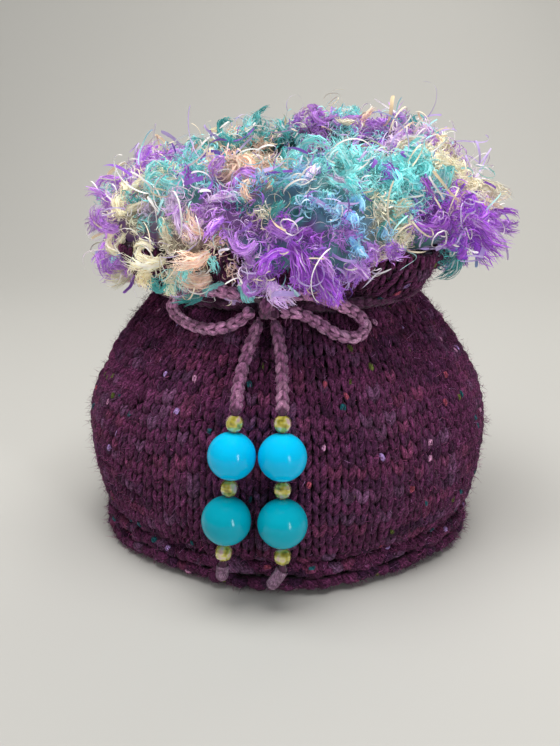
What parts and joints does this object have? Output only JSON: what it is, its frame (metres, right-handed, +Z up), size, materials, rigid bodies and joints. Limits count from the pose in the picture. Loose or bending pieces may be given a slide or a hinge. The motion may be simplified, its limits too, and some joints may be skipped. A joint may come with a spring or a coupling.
{
  "type": "tea cosy",
  "caption": "Round hand-knitted tea cosy, open below and at the sides, with a fluffy yarn ruffle above a drawn neck, and a cord tied in a bow with beads on its ends.",
  "frame": {"origin": "the middle of the body's footprint, on the surface that the hem rests on", "axes": "+Z up; -Y towards the front, where the bow is; -X towards the side slit for the spout; +X towards the side slit for the handle"},
  "size_m": [0.1639, 0.1793, 0.1655],
  "materials": {
    "plum_knit": "matt tweed wool yarn in plum with small flecks, in stocking stitch with a garter hem",
    "ruffle_yarn": "shaggy fancy yarn in purple, turquoise and peach, with shiny white threads",
    "cord_yarn": "matt mauve-plum wool yarn, knitted into a cord",
    "gold_bead": "clear yellow-gold, faceted and shiny",
    "blue_bead": "glossy opaque sky blue",
    "teal_bead": "glossy opaque teal"
  },
  "bodies": {
    "root": {"front_panel": "plum_knit", "back_panel": "plum_knit", "ruffle": "ruffle_yarn", "drawstring": "cord_yarn", "bow_knot": "cord_yarn", "bow_loop_left": "cord_yarn", "bow_loop_right": "cord_yarn", "tail_left": "cord_yarn", "tail_right": "cord_yarn", "bead_gold_top_left": "gold_bead", "bead_gold_middle_left": "gold_bead", "bead_gold_low_left": "gold_bead", "bead_gold_top_right": "gold_bead", "bead_gold_middle_right": "gold_bead", "bead_gold_low_right": "gold_bead", "bead_blue_left": "blue_bead", "bead_blue_right": "blue_bead", "bead_teal_left": "teal_bead", "bead_teal_right": "teal_bead"}
  },
  "joints": []
}
